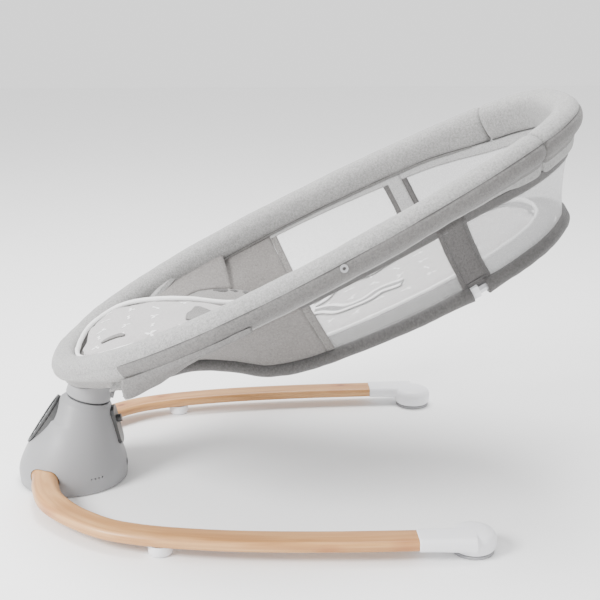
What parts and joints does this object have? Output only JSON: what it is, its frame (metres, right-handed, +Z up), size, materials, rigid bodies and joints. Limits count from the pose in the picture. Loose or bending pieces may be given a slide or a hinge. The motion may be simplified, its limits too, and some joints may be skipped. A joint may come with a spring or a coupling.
{
  "type": "bouncer seat",
  "caption": "Baby bouncer seat: a padded oval seat with mesh sides and a soft insert, swinging on a tilted shaft over a round motor base with long bent legs.",
  "frame": {"origin": "centre of the base's grip pad underside, on the floor", "axes": "+X from the foot end of the seat to its head end, +Y to the left of a child lying in the seat, +Z up"},
  "size_m": [0.7664, 0.5668, 0.5407],
  "materials": {
    "grey_plastic": "satin",
    "white_plastic": "satin",
    "dark_plastic": "gloss",
    "black_rubber": "matte",
    "grey_rubber": "matte",
    "wood": "satin",
    "steel": "brushed",
    "copper": "satin",
    "circuit_board": "satin",
    "tube_metal": "satin",
    "rim_fabric": "melange weave",
    "wall_fabric": "melange weave and mesh",
    "floor_fabric": "melange weave",
    "pad_fabric": "printed jersey",
    "webbing": "woven webbing"
  },
  "bodies": {
    "base": {"base_housing": "grey_plastic", "base_bottom_cover": "grey_plastic", "bearing_carrier": "grey_plastic", "left_end_cap": "white_plastic", "right_end_cap": "white_plastic", "left_mid_foot": "white_plastic", "right_mid_foot": "white_plastic", "control_panel": "dark_plastic", "rear_panel": "dark_plastic", "power_inlet": "dark_plastic", "speaker": "dark_plastic", "base_grip_pad": "black_rubber", "neck_seal": "black_rubber", "left_cap_sole": "grey_rubber", "right_cap_sole": "grey_rubber", "left_leg": "wood", "right_leg": "wood", "upper_bearing": "steel", "lower_bearing": "steel", "cover_screw_1": "steel", "cover_screw_2": "steel", "cover_screw_3": "steel", "drive_coil": "copper", "control_board": "circuit_board"},
    "seat": {"swing_shaft": "steel", "drive_arm": "steel", "drive_magnet": "steel", "seat_collar": "grey_plastic", "seat_hub": "dark_plastic", "left_rim_tube": "tube_metal", "right_rim_tube": "tube_metal", "head_rim_tube": "tube_metal", "left_cradle_tube": "tube_metal", "right_cradle_tube": "tube_metal", "head_cradle_tube": "tube_metal", "left_tube_clip": "white_plastic", "right_tube_clip": "white_plastic", "left_rim_pad": "rim_fabric", "right_rim_pad": "rim_fabric", "head_rim_pad": "rim_fabric", "foot_rim_pad": "rim_fabric", "foot_cover": "rim_fabric", "left_side_wall": "wall_fabric", "right_side_wall": "wall_fabric", "head_wall": "wall_fabric", "seat_floor": "floor_fabric", "insert_pad": "pad_fabric", "left_eyelet": "white_plastic", "right_eyelet": "white_plastic", "buckle": "white_plastic", "crotch_strap": "webbing", "left_waist_strap": "webbing", "right_waist_strap": "webbing"},
    "key_1": {"panel_key_1": "dark_plastic"},
    "key_2": {"panel_key_2": "dark_plastic"},
    "key_3": {"panel_key_3": "dark_plastic"},
    "key_4": {"panel_key_4": "dark_plastic"},
    "rear_push_button": {"rear_button": "dark_plastic"},
    "seat_release": {"release_button": "grey_plastic"},
    "buckle_catch": {"buckle_button": "white_plastic"}
  },
  "joints": [
    {"name": "seat_swing", "type": "hinge", "parent": "base", "child": "seat", "pos_m": [0.025, 0, 0.1195], "axis": [0.2588, 0, 0.9659], "range_deg": [-15, 15]},
    {"name": "key_1_press", "type": "slide", "parent": "base", "child": "key_1", "axis": [0.8223, 0, -0.569], "range_m": [0, 0.0008], "stiffness_N_per_m": 200},
    {"name": "key_2_press", "type": "slide", "parent": "base", "child": "key_2", "axis": [0.8223, 0, -0.569], "range_m": [0, 0.0008], "stiffness_N_per_m": 200},
    {"name": "key_3_press", "type": "slide", "parent": "base", "child": "key_3", "axis": [0.8223, 0, -0.569], "range_m": [0, 0.0008], "stiffness_N_per_m": 200},
    {"name": "key_4_press", "type": "slide", "parent": "base", "child": "key_4", "axis": [0.8223, 0, -0.569], "range_m": [0, 0.0008], "stiffness_N_per_m": 200},
    {"name": "rear_button_press", "type": "slide", "parent": "base", "child": "rear_push_button", "axis": [-0.9781, 0, -0.208], "range_m": [0, 0.002], "stiffness_N_per_m": 300},
    {"name": "seat_release_press", "type": "slide", "parent": "seat", "child": "seat_release", "axis": [-0.9659, 0, 0.2588], "range_m": [0, 0.003], "stiffness_N_per_m": 400},
    {"name": "buckle_press", "type": "slide", "parent": "seat", "child": "buckle_catch", "axis": [0.454, 0, -0.891], "range_m": [0, 0.0016], "stiffness_N_per_m": 400}
  ]
}
